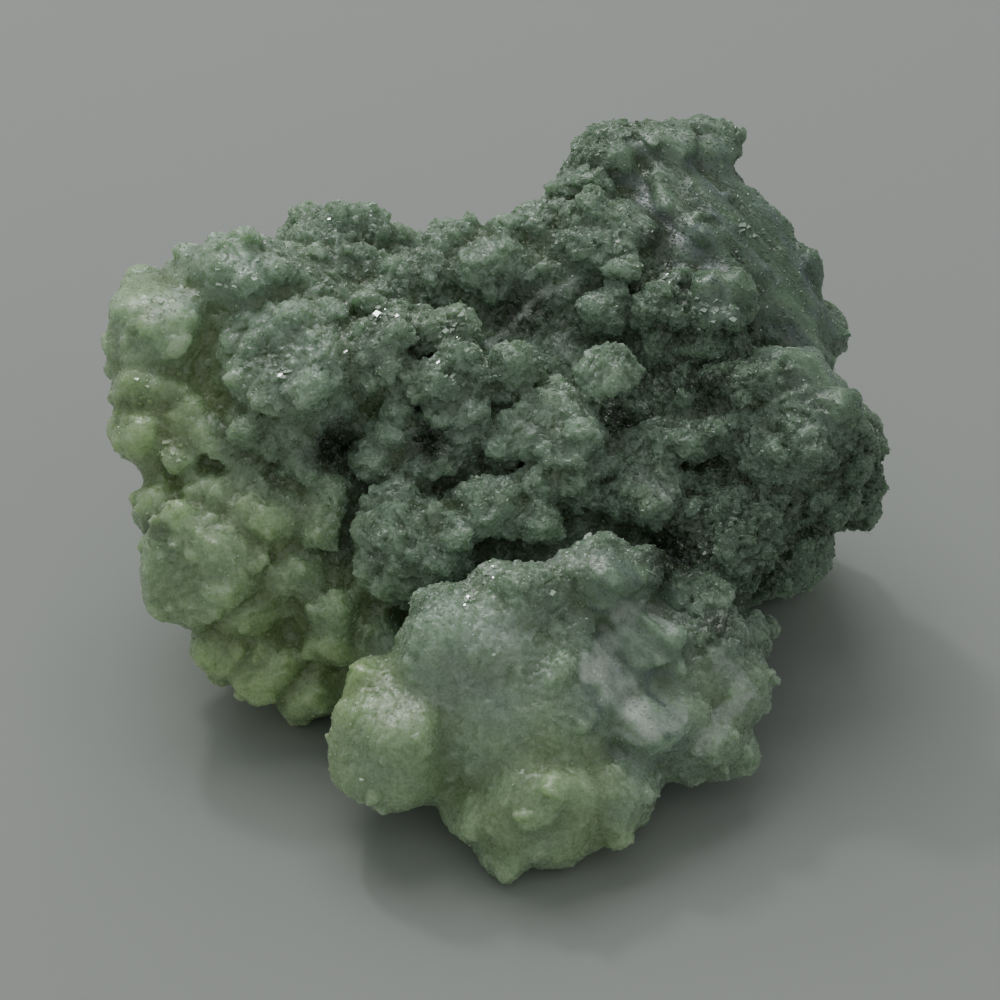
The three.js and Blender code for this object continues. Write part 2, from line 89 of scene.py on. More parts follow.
MIDDLE_LUMPS = [
    [-15.4, 9.6, 1, 6.2, 5.2, 5],
    [-6.5, -3.8, 1.8, 4.6, 4.2, 4.2],
    [-11.2, 10.4, 1.4, 3.4, 3.4, 3.4],
    [-17.3, 5.6, 1.2, 3.4, 3, 3.5],
    [-13.5, 13.7, 1.5, 2, 1.7, 2.2],
    [-20.6, 13.5, 0, 1.7, 1.9, 2],
    [-19.6, 11.5, 0.4, 2.7, 2.7, 3],
    [-15.5, 3.5, 1.8, 2, 1.9, 2],
    [-13.5, 1, 1, 2.2, 1.3, 1.8],
]
BACK_LEFT_LUMPS = [
    [-13.1, 19.6, -9, 5, 3.6, 5],
    [-8.8, 20, -10, 2.3, 2.3, 3],
    [-12, 18, -5.5, 4, 2.4, 3],
    [-14.6, 16.9, -4, 2.4, 1.7, 2.5],
    [-8, 16.5, -4, 3, 2, 2.5],
]
CENTRE_LUMPS = [
    [-3.8, 19.4, -5, 2.7, 2.1, 3],
    [0, 20.4, -5, 2.3, 1.8, 2.5],
    [3.5, 21.7, -5.5, 2.5, 1.8, 2.5],
    [-5.4, 17.5, -3.8, 2.3, 1.6, 2.2],
    [-0.8, 18.1, -3.2, 3.6, 2.4, 3],
    [-5.4, 13, 0.4, 3.9, 1.6, 2.4],
    [-0.4, -0.6, 1.8, 4, 2.3, 2.6],
    [-3.6, 5.5, 1, 3.2, 2.6, 2.2],
]
RIGHT_LUMPS = [
    [22.3, 5.4, -0.4, 5.4, 5.8, 5.5],
    [17.3, -2.3, -1.2, 4.8, 4.5, 5],
    [8, 20.2, -4.2, 4.6, 3.5, 4],
    [6.9, 24, -6.8, 2.7, 2.2, 3],
    [8.5, 26.8, -8.2, 3.2, 2.5, 3.5],
    [13, 27.5, -8.8, 3.3, 2.6, 3.7],
    [16.4, 27.4, -9.8, 2.4, 2.6, 3.6],
    [23.8, 18.4, -7.5, 1.6, 1.5, 3],
    [25.9, 13, -8.2, 1.6, 2.1, 3.5],
    [17.3, 15.4, 0.8, 2.8, 2.6, 2.6],
    [19.6, 8.5, 1.2, 3.7, 2.5, 3],
    [24.6, 2.3, -1.8, 2.5, 4.2, 4],
    [22.3, -4.6, -4.2, 3.5, 2.7, 4],
    [11.2, 0.8, 1.2, 3.2, 3.2, 2.6],
    [27.1, 3.4, -11.5, 2.8, 5.4, 5],
    [25.2, -0.4, -12.5, 2.6, 3, 5],
]
FRONT_LUMPS = [
    [-8.1, -18.2, 7, 5.2, 5.4, 5.5],
    [-9.2, -14.4, 6.2, 3.1, 2.7, 3.5],
    [-2.3, -11.5, 7.4, 5.6, 5, 5],
    [1.5, -7.7, 6.8, 4.6, 3.5, 4],
    [7.7, -6.2, 5.8, 4.6, 3, 4],
    [3, -22.6, 7.6, 5.3, 5, 5.5],
    [0.8, -26.4, 7.4, 2.4, 2.1, 3],
    [-1.5, -23.8, 6.6, 2.9, 2.8, 4],
    [7.7, -21.9, 6, 4.6, 3.9, 5],
    [11.5, -16.8, 6, 4.6, 3.2, 4],
    [14.6, -18.2, 3, 4.6, 3.4, 4.5],
    [18, -14.4, 1.6, 2.9, 3.8, 4],
    [19.2, -10.6, -0.8, 1.8, 2.3, 3],
    [14.6, -10.8, 3.6, 4.2, 3.4, 3.5],
    [14.2, -6.5, 2.2, 4, 3, 2],
    [10.8, -11.5, 5.6, 3.2, 3.2, 3.5],
]

# Bodies behind the front lobe, in the stone's own axes: [x, y, z, half width, half depth, half height].
FRONT_BODIES = [
    [2, -13, 8, 9, 8.5, 8.5],
    [10, -9, 7.5, 9, 8, 8],
]

# Tabular crystals: [across, up, proud, half length, half width, half thickness, spin, tilt, lean].
# Spin turns a crystal in the sloping plane, tilt leans its upper edge back, and lean brings its right
# edge out.
PLATES = [
    [4.3, 5.3, 3, 4.4, 3.5, 1.6, -42, 14, 14],
    [6.5, 1.7, 2, 3.2, 2.7, 2, -50, -16, -24],
    [-3.4, 6.9, 2.6, 3, 2.2, 1.3, 15, 20, 0],
    [-5.4, 13, 1.8, 3.8, 1.6, 0.9, 8, 35, 0],
    [-3.6, 11.9, 1.9, 2.5, 1.2, 0.6, -10, 45, 0],
    [1.4, 10.2, 2.2, 1.9, 1.7, 1.6, 20, 20, 20],
    [-8, 5.4, 2.2, 2.1, 1.8, 1.5, 30, 20, -10],
    [-9.9, 3, 2.4, 1.7, 1.4, 1.2, -20, 30, 10],
    [-1.9, 9.4, 2.2, 1.7, 1.5, 1.2, 0, 30, 10],
    [0.2, 4.4, 2, 1.3, 2.3, 1, 10, 0, -20],
    [13.8, 4.7, 1.8, 4.6, 2, 1, 12, 32, 8],
    [11.1, 0.9, 2.9, 3, 2.6, 1.4, -20, 8, 0],
    [9.4, 3.9, 2.2, 2, 1.5, 1.1, 30, 20, 0],
    [12.5, 15, 0.9, 2.3, 1.9, 1.5, 10, 10, -20],
    [8.2, 14.6, 0.2, 2, 1.7, 1.3, -30, 10, 10],
    [-8.2, -0.2, 3.2, 2.7, 1.8, 1.2, 12, 20, 0],
    [-9.1, -3.2, 4, 2.9, 1.7, 1.2, 78, 0, -25],
    [-4.3, -2.4, 4.6, 2.7, 2.3, 1.2, -10, 14, 18],
    [-6.8, -6, 4.3, 2.7, 1.6, 1.2, -12, -24, 0],
    [-13.3, -0.9, 3, 3.3, 1.5, 1, 80, 0, -15],
    [-5.2, -7.6, 3.2, 2.9, 1.3, 0.9, 76, 10, 20],
    [-0.6, 0.4, 3.6, 2.6, 1.5, 1.1, 6, 26, 0],
    [2.9, -1.6, 3.6, 2.2, 1.7, 1.2, -24, 20, 20],
    [-9, 11.9, 4, 3, 1.6, 1, 22, 20, 30],
    [-8.2, 9.2, 3.2, 2.3, 1.5, 1, -8, -20, 25],
    [-10, 15, 2.4, 1.5, 1.1, 0.8, -28, 16, 20],
    [-21.9, 4.7, 2.6, 1.9, 1.5, 0.7, -52, 20, -20],
    [-19.6, 2.3, 2.6, 2, 0.8, 0.6, -40, 0, 20],
    [-24.5, 3.2, 2.2, 1.6, 1.2, 0.8, 20, 30, -10],
    [13.4, -6.1, 3.9, 5.3, 1.9, 0.7, -33, 48, 0],
]

# Sheaves of crystals that spread like a fan from a shared edge:
# [across, up, proud, half length, half width, half thickness, spin, tilt, lean, count, spread].
SHEAVES = [
    [8.7, 9, 2.8, 2.7, 2.2, 0.45, 24, -64, 0, 5, 70],
    [-5.7, 8.6, 1.8, 3.2, 2.2, 0.5, 4, -72, 0, 4, 44],
    [15.4, 11.3, 0.8, 1.9, 1.8, 0.42, -48, -60, 0, 4, 60],
    [-5.2, 2.6, 1.2, 2.9, 1.8, 0.45, 22, -70, 0, 4, 54],
]

# How a skin is made. The solid is drawn in a little, and more under the front lobe, so that rounded
# aggregates stand over it. Gaps narrower than twice FILLED are grown shut, and creases are carved
# between aggregates.
DRAWN_IN = 0.4
FRONT_DRAWN_IN = 1.7
FILLED = 0.28
SET_BACK = 0.3
CREASE_WIDTH = 0.15
BACK_CREASE_DEPTH = 0.48
FRONT_CREASE_DEPTH = 0.06
ROUGH_VOXEL = 0.3
VOXEL = 0.2
LUMP_SUBDIVISIONS = 4
LUMP_SQUARENESS = 3
LUMP_WOBBLE = 0.1

# The uneven form of a skin: its broad and its narrow noise as [size, salt], and their reach.
FORM_NOISES = [(4.5, 400), (2.2, 410)]
FORM_REACH = 0.3

# Each use of noise has a salt, a number of its own that keeps it unlike the others.
TONE_SALT = 40
DARK_SALT = 90
YELLOW_SALT = 95
CREASE_SALT = 420
RIDGE_SALTS = (500, 510)
LIT_FIBRE_SALTS = (520, 530)
RAGGED_SALT = 600
SHEEN_SALT = 620
BROKEN_SALT = 630
BRIGHT_SALT = 650
TURN_SALT = 900
LUMP_SALT = 910

# Triangles of the two skins, and how many of them are on their unseen sides.
MAIN_TRIANGLES = (196000, 30000)
FRONT_TRIANGLES = (130000, 12000)

# A tabular crystal is a stack of layers of about this thickness.
LAYER = 0.55
LAYER_SIDES = 13
LAYER_OVERLAP = 0.05

# How deep tabular crystals are sunk into the stone.
SUNK = 0.6

# Rounded blocks are grown into the skin. Those within one cluster lie nearly parallel. A skin gets a
# share of each table's first row and of its second.
BLOCK_CLUSTER = 5
BLOCK_JITTER = 0.22
MAIN_SHARES = (1, 1)
FRONT_SHARES = (0.22, 0.06)

# The blocks, the larger ones first: how many, the range of their half lengths, how deep their middles
# lie as a share of that, their squareness, their share in the pale and in the dark parts, the
# subdivisions of their mesh, and a salt.
LARGE_BLOCKS = [
    [170, (1, 2.2), 0.66, 3, 1, 0.05, 2, 700],
    [520, (0.8, 1.9), 0.36, 5, 0.03, 1, 2, 720],
]
SMALL_BLOCKS = [
    [2200, (0.3, 0.85), 0.66, 5, 1, 0.1, 1, 740],
    [6200, (0.32, 0.9), 0.36, 8, 0.06, 1, 1, 760],
]

# Clusters of parallel crystal faces: the cluster's size, the height of its steps, the two sides of its
# steps, how far the pale and the dark parts follow them, and a salt.
LATTICES = [
    [3.4, 0.55, (1.5, 1), 0.2, 0.75, 60],
    [1.7, 0.32, (0.9, 0.6), 0.12, 0.5, 80],
]

# The height above which the skin is pressed together, so that it keeps to the solid's height.
TOP = 36.6
TOP_SHARE = 0.35

# The finest relief: the size of its cells, its height and a salt.
GRAINS = [
    [0.9, 0.09, 10],
    [0.45, 0.07, 20],
]

# The fibrous slope and the fibrous middle of the front lobe: [across, up] of the upper end and of the
# lower end, and the reach.
FIBROUS_AREAS = [
    [(11.5, 25.5), (17.5, 16.5), 2.6],
    [(15.5, 27), (24.5, 14.5), 3],
    [(20, 20), (25.5, 9.5), 3],
    [(9.5, -8), (10.5, -16), 3.2],
]
FIBRE_DIRECTION = (7, -6.5, 2.5)

# How proud of the sloping plane the seen side begins and is complete, and the same for veins and pits.
SEEN_FROM = (-15, -8)
VEINS_FROM = (-9, -5)

# Separate small crystals that stand on the skin: how many, the range of their lengths, and their
# share in the pale and in the dark parts, and a salt. Those of one cluster share a direction.
CRYSTAL_CLUSTER = 2.2
CORNER_CRYSTALS = [
    [44000, (0.1, 0.3), 0.05, 1, 340],
    [44000, (0.1, 0.3), 0.05, 1, 360],
]

# Clear crystal faces that catch the light: how many, the range of their half lengths and how far they
# are turned from the bright direction. Most lie in groups: [across, up, reach].
BRIGHT_CRYSTALS = [520, (0.08, 0.28), 0.07]
BRIGHT_GROUPS = [
    [-26.9, 8.2, 1],
    [-26.2, 3.2, 1],
    [-24.6, 3.1, 1],
    [-24, 9.7, 0.6],
    [-20, 16.5, 1.4],
    [-16.5, 9.6, 0.5],
    [-9.5, 6.5, 1],
    [-3.6, 13.5, 1],
    [-9.1, 14.3, 0.6],
    [-2, 9.9, 0.9],
    [-4.2, 8.9, 0.9],
    [-5.6, 5.3, 0.5],
    [-10.8, 1, 0.8],
    [6.2, -2.1, 0.6],
    [-0.6, -5.3, 0.5],
    [-2.5, -7.3, 0.4],
    [5.9, -8, 0.7],
    [19.2, 21.4, 0.4],
    [12.6, 17.4, 0.6],
    [16.7, 13.7, 1.2],
    [17.8, 11.2, 1],
]
BRIGHT_DIRECTION = (-0.223, -0.161, 0.961)

# Needles: how many, the range of their lengths, and half their thickness.
NEEDLES = [900, (0.6, 2), 0.035]

# White veins and streaks: [across, up] of both ends, half width and strength.
WHITE_STREAKS = [
    [(-4.6, -13.6), (0.6, -10.4), 2.4, 0.3],
    [(9.4, -8.4), (7, -12.6), 1.1, 0.9],
    [(8, -12.9), (10.6, -17.2), 1.3, 1],
    [(10.8, -17), (13.6, -16.2), 1, 0.7],
    [(10.8, -7.9), (12.9, -9.4), 0.5, 0.9],
    [(16.2, -11.6), (18.8, -14.4), 0.8, 0.8],
    [(18.8, -14.6), (15.2, -18.4), 0.8, 0.7],
    [(3.4, -4.4), (7.4, -4.4), 0.7, 0.45],
    [(-0.9, 11.8), (3.2, 16), 0.32, 1],
    [(3.4, 16.4), (5.9, 16.6), 0.55, 0.9],
    [(4.6, 14), (5.2, 11.2), 0.5, 0.55],
    [(10.8, 2.2), (12.8, 0.2), 0.7, 0.4],
]

# Painted shade of pits, together with the dark byssolite in them: [across, up, reach, strength].
SHADED_BYSSOLITE_PITS = [
    [-26.3, -2.4, 1.5, 0.6],
    [-12.7, 4, 2.6, 1],
    [-5.4, 4.1, 2.2, 1],
    [13.6, -3.8, 3, 0.9],
    [16.6, -9.4, 1.8, 0.8],
    [12.3, 20.6, 1.8, 0.8],
    [1.6, 14.6, 3, 0.8],
    [9, 6.2, 2, 0.9],
    [16, 8.6, 2.2, 0.8],
]

# Where the stone is dark grey-green (1) or pale (0), and how yellow the pale part is:
# [across, up, reach, darkness, yellowness].
COLOUR_ZONES = [
    [-26, 12.5, 4.5, 0.05, 0.5],
    [-20.5, 17.5, 4, 0.22, 0],
    [-26.5, 5.5, 4, 0.05, 0.9],
    [-22, -4.5, 5.5, 0.08, 0.7],
    [-19, -12, 4, 0.05, 1],
    [-14, -14, 4, 0.05, 1],
    [-15.4, 9.6, 5, 0.36, 0.05],
    [-17, 4.5, 3, 0.5, 0.4],
    [-12.5, -8, 3.5, 0.2, 0.6],
    [-7, -4, 4, 0.6, 0.1],
    [-12.5, 19.5, 4.5, 0.5, 0],
    [-7, 14, 4, 0.65, 0.1],
    [-1, 19, 4.5, 0.5, 0.02],
    [3, 14, 4, 0.6, 0],
    [-4, 6, 4, 0.55, 0.1],
    [4.5, 6, 4, 0.42, 0.05],
    [0, 0, 4, 0.52, 0.1],
    [9, 20, 4, 0.58, 0],
    [13, 27, 4, 0.8, 0.1],
    [20, 20, 6, 1, 0.1],
    [17, 12, 5, 0.85, 0.1],
    [11, 1, 4, 0.7, 0.1],
    [22, 5, 6, 0.64, 0.05],
    [18, -3, 5, 1, 0.05],
    [28, 3, 4, 1, 0.2],
    [4, -5, 3, 0.45, 0.1],
    [-3, -11.5, 4.5, 0.1, 0.05],
    [-8, -18, 5, 0, 0.55],
    [3, -23, 5, 0, 0.6],
    [11, -11, 3.5, 0.42, 0],
    [12, -17, 3.5, 0.3, 0],
    [16, -16, 3.5, 0.15, 0.3],
    [17, -9, 3.5, 0.48, 0.1],
]

# The darkness and yellowness of the back, and how far behind the sloping plane they begin and are
# complete.
BACK_TONE = (0.55, 0.3)
BACK_FROM = (9, 15)

# The colours of those tones.
PALE_GREEN = (0.35, 0.475, 0.355)
YELLOW_GREEN = (0.33, 0.45, 0.22)
GREY_GREEN = (0.1, 0.162, 0.1)
# These two colours are painted shade in crevices; in the pale parts it is olive-yellow and also stands in
# for light glowing through the stone.
PALE_CREVICE_SHADE = (0.2, 0.28, 0.085)
DARK_CREVICE_SHADE = (0.02, 0.032, 0.012)
# This near-black is painted shade in the pits, together with the dark byssolite in them.
PIT_SHADE_AND_BYSSOLITE = (0.02, 0.032, 0.014)
# This blue-grey is a painted sheen of light on the silky fibres.
FIBRE_SHEEN_GREY = (0.15, 0.205, 0.185)
FROST = (0.4, 0.47, 0.4)
VEIN_WHITE = (0.55, 0.63, 0.55)
FLOOR_COLOUR = (0.375, 0.395, 0.375, 1)

# The material: the size of its tiny crystal facets and of its fine noise, how far red, green and blue
# light scatter, and its refractive index.
FACET_SIZE = 0.2
FINE_SIZE = 0.25
SCATTER_RADIUS = (0.8, 1.0, 0.6)
REFRACTIVE_INDEX = 1.62

# Edges sharper than this stay sharp.
SHARP_ANGLE_DEG = 34

# The studio: half the floor's side in metres, and the lights as name, azimuth and elevation in degrees,
# distance and size in metres, and power in watts. Azimuth 0 is in front of the stone, 90 to its right.
FLOOR_HALF = 2.0
FLOOR_ROUGHNESS = 0.75
LIGHTS = [
    ("window", -160, 60, 0.6, 0.5, 1.65),
    ("glint", -150, 50, 0.6, 0.05, 0.4),
    ("fill", 10, 50, 0.8, 0.7, 0.4),
]
WORLD_COLOUR = (0.95, 1, 0.98, 1)
WORLD_STRENGTH = 0.29

# More than any distance that is compared with it.
FAR = 9.0

rng = np.random.default_rng(SEED)

slope = math.radians(FACE_SLOPE_DEG)
run, rise = math.cos(slope), math.sin(slope)
FACE_AXES = np.array([[1, 0, 0], [0, run, rise], [0, -rise, run]])
face_origin = np.array(FACE_ORIGIN)


def on_face(places):
    """The stone's own points of places on the sloping face."""
    return np.asarray(places, float) @ FACE_AXES + face_origin


def face_places(points):
    """The across, up and proud lengths of points."""
    return (points - face_origin) @ FACE_AXES.T


def mesh_from(name, points, faces):
    """A mesh of faces that all have the same number of corners."""
    faces = np.asarray(faces, np.int32)
    count, corners = faces.shape
    mesh = bpy.data.meshes.new(name)
    mesh.vertices.add(len(points))
    mesh.vertices.foreach_set("co", np.asarray(points, np.float32).ravel())
    mesh.loops.add(count * corners)
    mesh.loops.foreach_set("vertex_index", faces.ravel())
    mesh.polygons.add(count)
    mesh.polygons.foreach_set("loop_start", np.arange(0, count * corners, corners, dtype=np.int32))
    mesh.update(calc_edges=True)
    mesh.validate()
    return mesh


def linked(name, mesh):
    thing = bpy.data.objects.new(name, mesh)
    bpy.context.scene.collection.objects.link(thing)
    return thing


def read_mesh(mesh, corners):
    points = np.empty(len(mesh.vertices) * 3, np.float32)
    mesh.vertices.foreach_get("co", points)
    faces = np.empty(len(mesh.loops), np.int32)
    mesh.loops.foreach_get("vertex_index", faces)
    return points.reshape(-1, 3).astype(float), faces.reshape(-1, corners)


def modified(points, faces, steps, corners, groups=None):
    """The points and faces that modifiers make of a mesh. Each step is a kind and its settings."""
    thing = linked("working", mesh_from("working", points, faces))
    for name, chosen in (groups or {}).items():
        thing.vertex_groups.new(name=name).add(np.flatnonzero(chosen).tolist(), 1.0, "REPLACE")
    for kind, settings in steps:
        modifier = thing.modifiers.new(kind, kind)
        for key, value in settings.items():
            setattr(modifier, key, value)
    depsgraph = bpy.context.evaluated_depsgraph_get()
    made = bpy.data.meshes.new_from_object(thing.evaluated_get(depsgraph))
    found = read_mesh(made, corners)
    old = thing.data
    bpy.data.objects.remove(thing)
    bpy.data.meshes.remove(old)
    bpy.data.meshes.remove(made)
    return found


# Vectors.


def unit(vectors):
    return vectors / np.maximum(np.linalg.norm(vectors, axis=-1, keepdims=True), 1e-12)


def vertex_normals(points, faces):
    ends = ((0, 2), (1, 3)) if faces.shape[1] == 4 else ((0, 1), (0, 2))
    across, along = (points[faces[:, end]] - points[faces[:, start]] for start, end in ends)
    outward = np.cross(across, along)
    total = np.zeros_like(points)
    for corner in range(faces.shape[1]):
        for axis in range(3):
            total[:, axis] += np.bincount(faces[:, corner], outward[:, axis], len(points))
    return unit(total)


def smoothed(values, faces, times, share=0.5):
    """Values on the points, each drawn towards the mean of its neighbours."""
    first = faces.ravel()
    second = np.roll(faces, -1, axis=1).ravel()
    count = len(values)
    reached = np.bincount(first, minlength=count) + np.bincount(second, minlength=count)
    reached = np.maximum(reached, 1)[:, None]
    values = values.copy()
    for _ in range(times):
        mean = np.empty_like(values)
        for axis in range(values.shape[1]):
            column = values[:, axis]
            mean[:, axis] = np.bincount(first, column[second], count)
            mean[:, axis] += np.bincount(second, column[first], count)
        values += share * (mean / reached - values)
    return values


# Repeatable noise.


def scrambled(cells, salt):
    """A whole random number for each row of whole numbers."""
    state = np.full(cells.shape[:-1], (salt * 2654435761) % 2**32, np.uint32)
    for axis in range(cells.shape[-1]):
        state = (state ^ cells[..., axis].astype(np.int64).astype(np.uint32)) * np.uint32(0x9E3779B1)
        state ^= state >> np.uint32(15)
    state *= np.uint32(0x85EBCA6B)
    state ^= state >> np.uint32(13)
    state *= np.uint32(0xC2B2AE35)
    return state ^ (state >> np.uint32(16))


def chance(cells, salt):
    """A random number from 0 to 1 for each row of whole numbers."""
    return scrambled(cells, salt) / 2.0**32


def value_noise(points, size, salt):
    """Smooth noise from -1 to 1 with features of a size."""
    scaled = points / size
    low = np.floor(scaled)
    part = scaled - low
    part = part * part * (3 - 2 * part)
    total = np.zeros(len(points))
    for corner in range(8):
        offset = np.array([corner & 1, corner >> 1 & 1, corner >> 2 & 1])
        weight = np.prod(np.where(offset, part, 1 - part), axis=1)
        total += weight * chance(low + offset, salt)
    return 2 * total - 1


def layered_noise(points, size, salt, layers=3):
    total = sum(value_noise(points, size / 2**i, salt + i) / 2**i for i in range(layers))
    return total / (2 - 2 ** (1 - layers))


def wandering(points, size, salt, axes):
    """Smooth noise of its own along each of a number of axes."""
    return np.stack([value_noise(points, size, salt + i) for i in range(axes)], axis=1)


def ramp(values, start, end):
    """0 below the start, 1 above the end, and even in between."""
    return np.clip((values - start) / (end - start), 0, 1)


def nearest_cells(points, size, salt):
    """Scattered cells: the distance to the nearest cell's middle, that middle, and the cell's whole
    numbers."""
    scaled = points / size
    home = np.floor(scaled)
    best = np.full(len(points), FAR)
    middle = np.zeros_like(points)
    owner = np.zeros_like(points)
    for index in range(27):
        cell = home + np.array([index // 9 - 1, index // 3 % 3 - 1, index % 3 - 1])
        spot = cell + np.stack([chance(cell, salt + i) for i in range(3)], axis=1)
        distance = ((scaled - spot) ** 2).sum(axis=1) ** 0.5
        nearer = distance < best
        best = np.where(nearer, distance, best)
        middle[nearer] = spot[nearer]
        owner[nearer] = cell[nearer]
    return best * size, middle * size, owner


def random_turns(owner, salt):
    """A random rotation matrix for each cell."""
    first = unit(np.stack([chance(owner, salt + i) for i in range(3)], axis=1) - 0.5)
    other = np.stack([chance(owner, salt + 3 + i) for i in range(3)], axis=1) - 0.5
    second = unit(np.cross(first, other))
    third = np.cross(first, second)
    return np.stack([first, second, third], axis=1)


# The two skins: the whole stone, and the milky lobe in front.


def unit_ball(subdivisions):
    ball = bmesh.new()
    bmesh.ops.create_icosphere(ball, subdivisions=subdivisions, radius=1)
    mesh = bpy.data.meshes.new("ball")
    ball.to_mesh(mesh)
    ball.free()
    found = read_mesh(mesh, 3)
    bpy.data.meshes.remove(mesh)
    return found


def joined(parts):
    """Several point and face lists as one."""
    points = []
    faces = []
    start = 0
    for part_points, part_faces in parts:
        points.append(part_points)
        faces.append(part_faces + start)
        start += len(part_points)
    return np.concatenate(points), np.concatenate(faces)


def numbered(faces, count, corners):
    """The faces of several equal pieces, of which each has a number of corners."""
    return (faces[None] + corners * np.arange(count)[:, None, None]).reshape(-1, 3)


def turned(spin, tilt, lean):
    angles = (math.radians(-tilt), math.radians(-lean), math.radians(spin))
    return np.array(Euler(angles, "ZYX").to_matrix())


def layer(half_length, half_width, low, high):
    """One layer of a tabular crystal: a flat prism with an uneven, rounded outline."""
    around = np.arange(LAYER_SIDES) * 2 * math.pi / LAYER_SIDES + rng.uniform(0, 1)
    reach = 1 + rng.uniform(-0.14, 0.1, LAYER_SIDES)
    squareness = (np.abs(np.cos(around)) ** 3 + np.abs(np.sin(around)) ** 3) ** (-1 / 3)
    outline = np.stack([np.cos(around), np.sin(around)], axis=1) * (reach * squareness)[:, None]
    outline = outline * np.array([half_length, half_width])
    shift = rng.uniform(-0.06, 0.06, 2) * half_length
    outline = outline + shift
    rings = [np.column_stack([outline, np.full(LAYER_SIDES, height)]) for height in (low, high)]
    ends = np.array([[*shift, low], [*shift, high]])
    points = np.concatenate([*rings, ends])
    faces = []
    for i in range(LAYER_SIDES):
        j = (i + 1) % LAYER_SIDES
        faces += [
            [i, j, LAYER_SIDES + j],
            [i, LAYER_SIDES + j, LAYER_SIDES + i],
            [j, i, 2 * LAYER_SIDES],
            [LAYER_SIDES + i, LAYER_SIDES + j, 2 * LAYER_SIDES + 1],
        ]
    return points, np.array(faces)


def stack(half_length, half_width, half_thickness):
    """A tabular crystal as layers, of which the outer ones are smaller."""
    count = max(1, round(2 * half_thickness / LAYER))
    edges = np.linspace(-half_thickness, half_thickness, count + 1)
    layers = []
    for low, high in zip(edges[:-1], edges[1:]):
        off_middle = abs(low + high) / 2 / half_thickness
        share = 1 - 0.28 * off_middle - rng.uniform(0, 0.16)
        ends = low - LAYER_OVERLAP, high + LAYER_OVERLAP
        layers.append(layer(half_length * share, half_width * share, *ends))
    return layers


def tabular_crystals():
    parts = []
    for across, up, proud, long, wide, thick, spin, tilt, lean in PLATES:
        turn = turned(spin, tilt, lean)
        for points, faces in stack(long, wide, thick):
            parts.append((on_face(points @ turn.T + np.array([across, up, proud - SUNK])), faces))
    for across, up, proud, long, wide, thick, spin, tilt, lean, count, spread in SHEAVES:
        turn = turned(spin, tilt, lean)
        for i in range(count):
            angle = math.radians(spread * (i / (count - 1) - 0.5))
            fan = np.array(Matrix.Rotation(angle, 3, "X"))
            for points, faces in stack(long, wide, thick):
                local = (points + np.array([0, wide * 0.6, 0])) @ fan.T @ turn.T
                parts.append((on_face(local + np.array([across, up, proud - SUNK])), faces))
    return parts


BALL_POINTS, BALL_FACES = unit_ball(LUMP_SUBDIVISIONS)


def squared(directions, squareness):
    """Points of a rounded block in unit directions. A squareness of 2 is a ball."""
    reach = (np.abs(directions) ** squareness).sum(axis=-1, keepdims=True) ** (-1 / squareness)
    return directions * reach


def lumps_of(rows):
    """Rounded aggregates, each a little angular and uneven in its own way."""
    parts = []
    for number, row in enumerate(rows):
        turn = random_turns(np.array([[number, 1, 2]]), TURN_SALT)[0]
        shape = squared(BALL_POINTS @ turn, LUMP_SQUARENESS) @ turn.T
        wobble = value_noise(BALL_POINTS + number * 7, 0.55, LUMP_SALT)
        shape = shape * (0.93 + LUMP_WOBBLE * wobble)[:, None]
        parts.append((on_face(shape * np.array(row[3:6]) + np.array(row[:3])), BALL_FACES))
    return parts


def bodies_of(rows):
    shift = np.array([FACE_ORIGIN[0], FACE_ORIGIN[1], 0])
    return [
        (BALL_POINTS * np.array(row[3:6]) + np.array(row[:3]) + shift, BALL_FACES) for row in rows
    ]


def from_lump(places, row):
    """How far places lie from the middle of a lump, whose surface is at 1."""
    return np.linalg.norm((places - np.array(row[:3])) / np.array(row[3:6]), axis=1)


def solid_drawn_in():
    """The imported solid, drawn in a little, and more where the front lobe has its own skin."""
    points, faces = read_mesh(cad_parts[NODE].data, 3)
    corners, shared = np.unique(np.round(points / METRES, 3), axis=0, return_inverse=True)
    faces = shared.reshape(-1)[faces]
    places = face_places(corners)
    in_front = np.zeros(len(corners))
    for row in FRONT_LUMPS:
        in_front = np.maximum(in_front, np.clip(5 * (1.3 - from_lump(places, row)), 0, 1))
    depth = DRAWN_IN + FRONT_DRAWN_IN * in_front
    return corners - vertex_normals(corners, faces) * depth[:, None], faces


def voxels(points, faces, size):
    return modified(points, faces, [("REMESH", {"mode": "VOXEL", "voxel_size": size})], 4)


def base_form(parts, rows, crease_depth):
    """One closed surface around the parts, with narrow gaps grown shut and an uneven form."""
    points, faces = voxels(*joined(parts), ROUGH_VOXEL)
    points = points + FILLED * smoothed(vertex_normals(points, faces), faces, 1)
    points, faces = voxels(points, faces, ROUGH_VOXEL)
    points = smoothed(points, faces, 1)
    points = points - (FILLED + SET_BACK) * unit(smoothed(vertex_normals(points, faces), faces, 1))
    broad, narrow = (wandering(points, *noise, 3) for noise in FORM_NOISES)
    points = points + FORM_REACH * (broad + 0.5 * narrow)
    depth = crease_depth * creases(points, rows)
    return points - depth[:, None] * unit(smoothed(vertex_normals(points, faces), faces, 2)), faces


def creases(points, rows):
    """How near each point lies to the border between two rounded aggregates, from 0 to 1."""
    places = face_places(points) + 0.35 * wandering(points, 1.9, CREASE_SALT, 3)
    near = np.full(len(points), FAR)
    second = np.full(len(points), FAR)
    for row in rows:
        distance = from_lump(places, row)
        second = np.minimum(second, np.maximum(near, distance))
        near = np.minimum(near, distance)
    share = np.clip(1 - (second - near) / CREASE_WIDTH, 0, 1) * np.clip(4 * (1.4 - near), 0, 1)
    return share * share * (3 - 2 * share)


def halves(faces):
    return np.concatenate([faces[:, [0, 1, 2]], faces[:, [0, 2, 3]]])


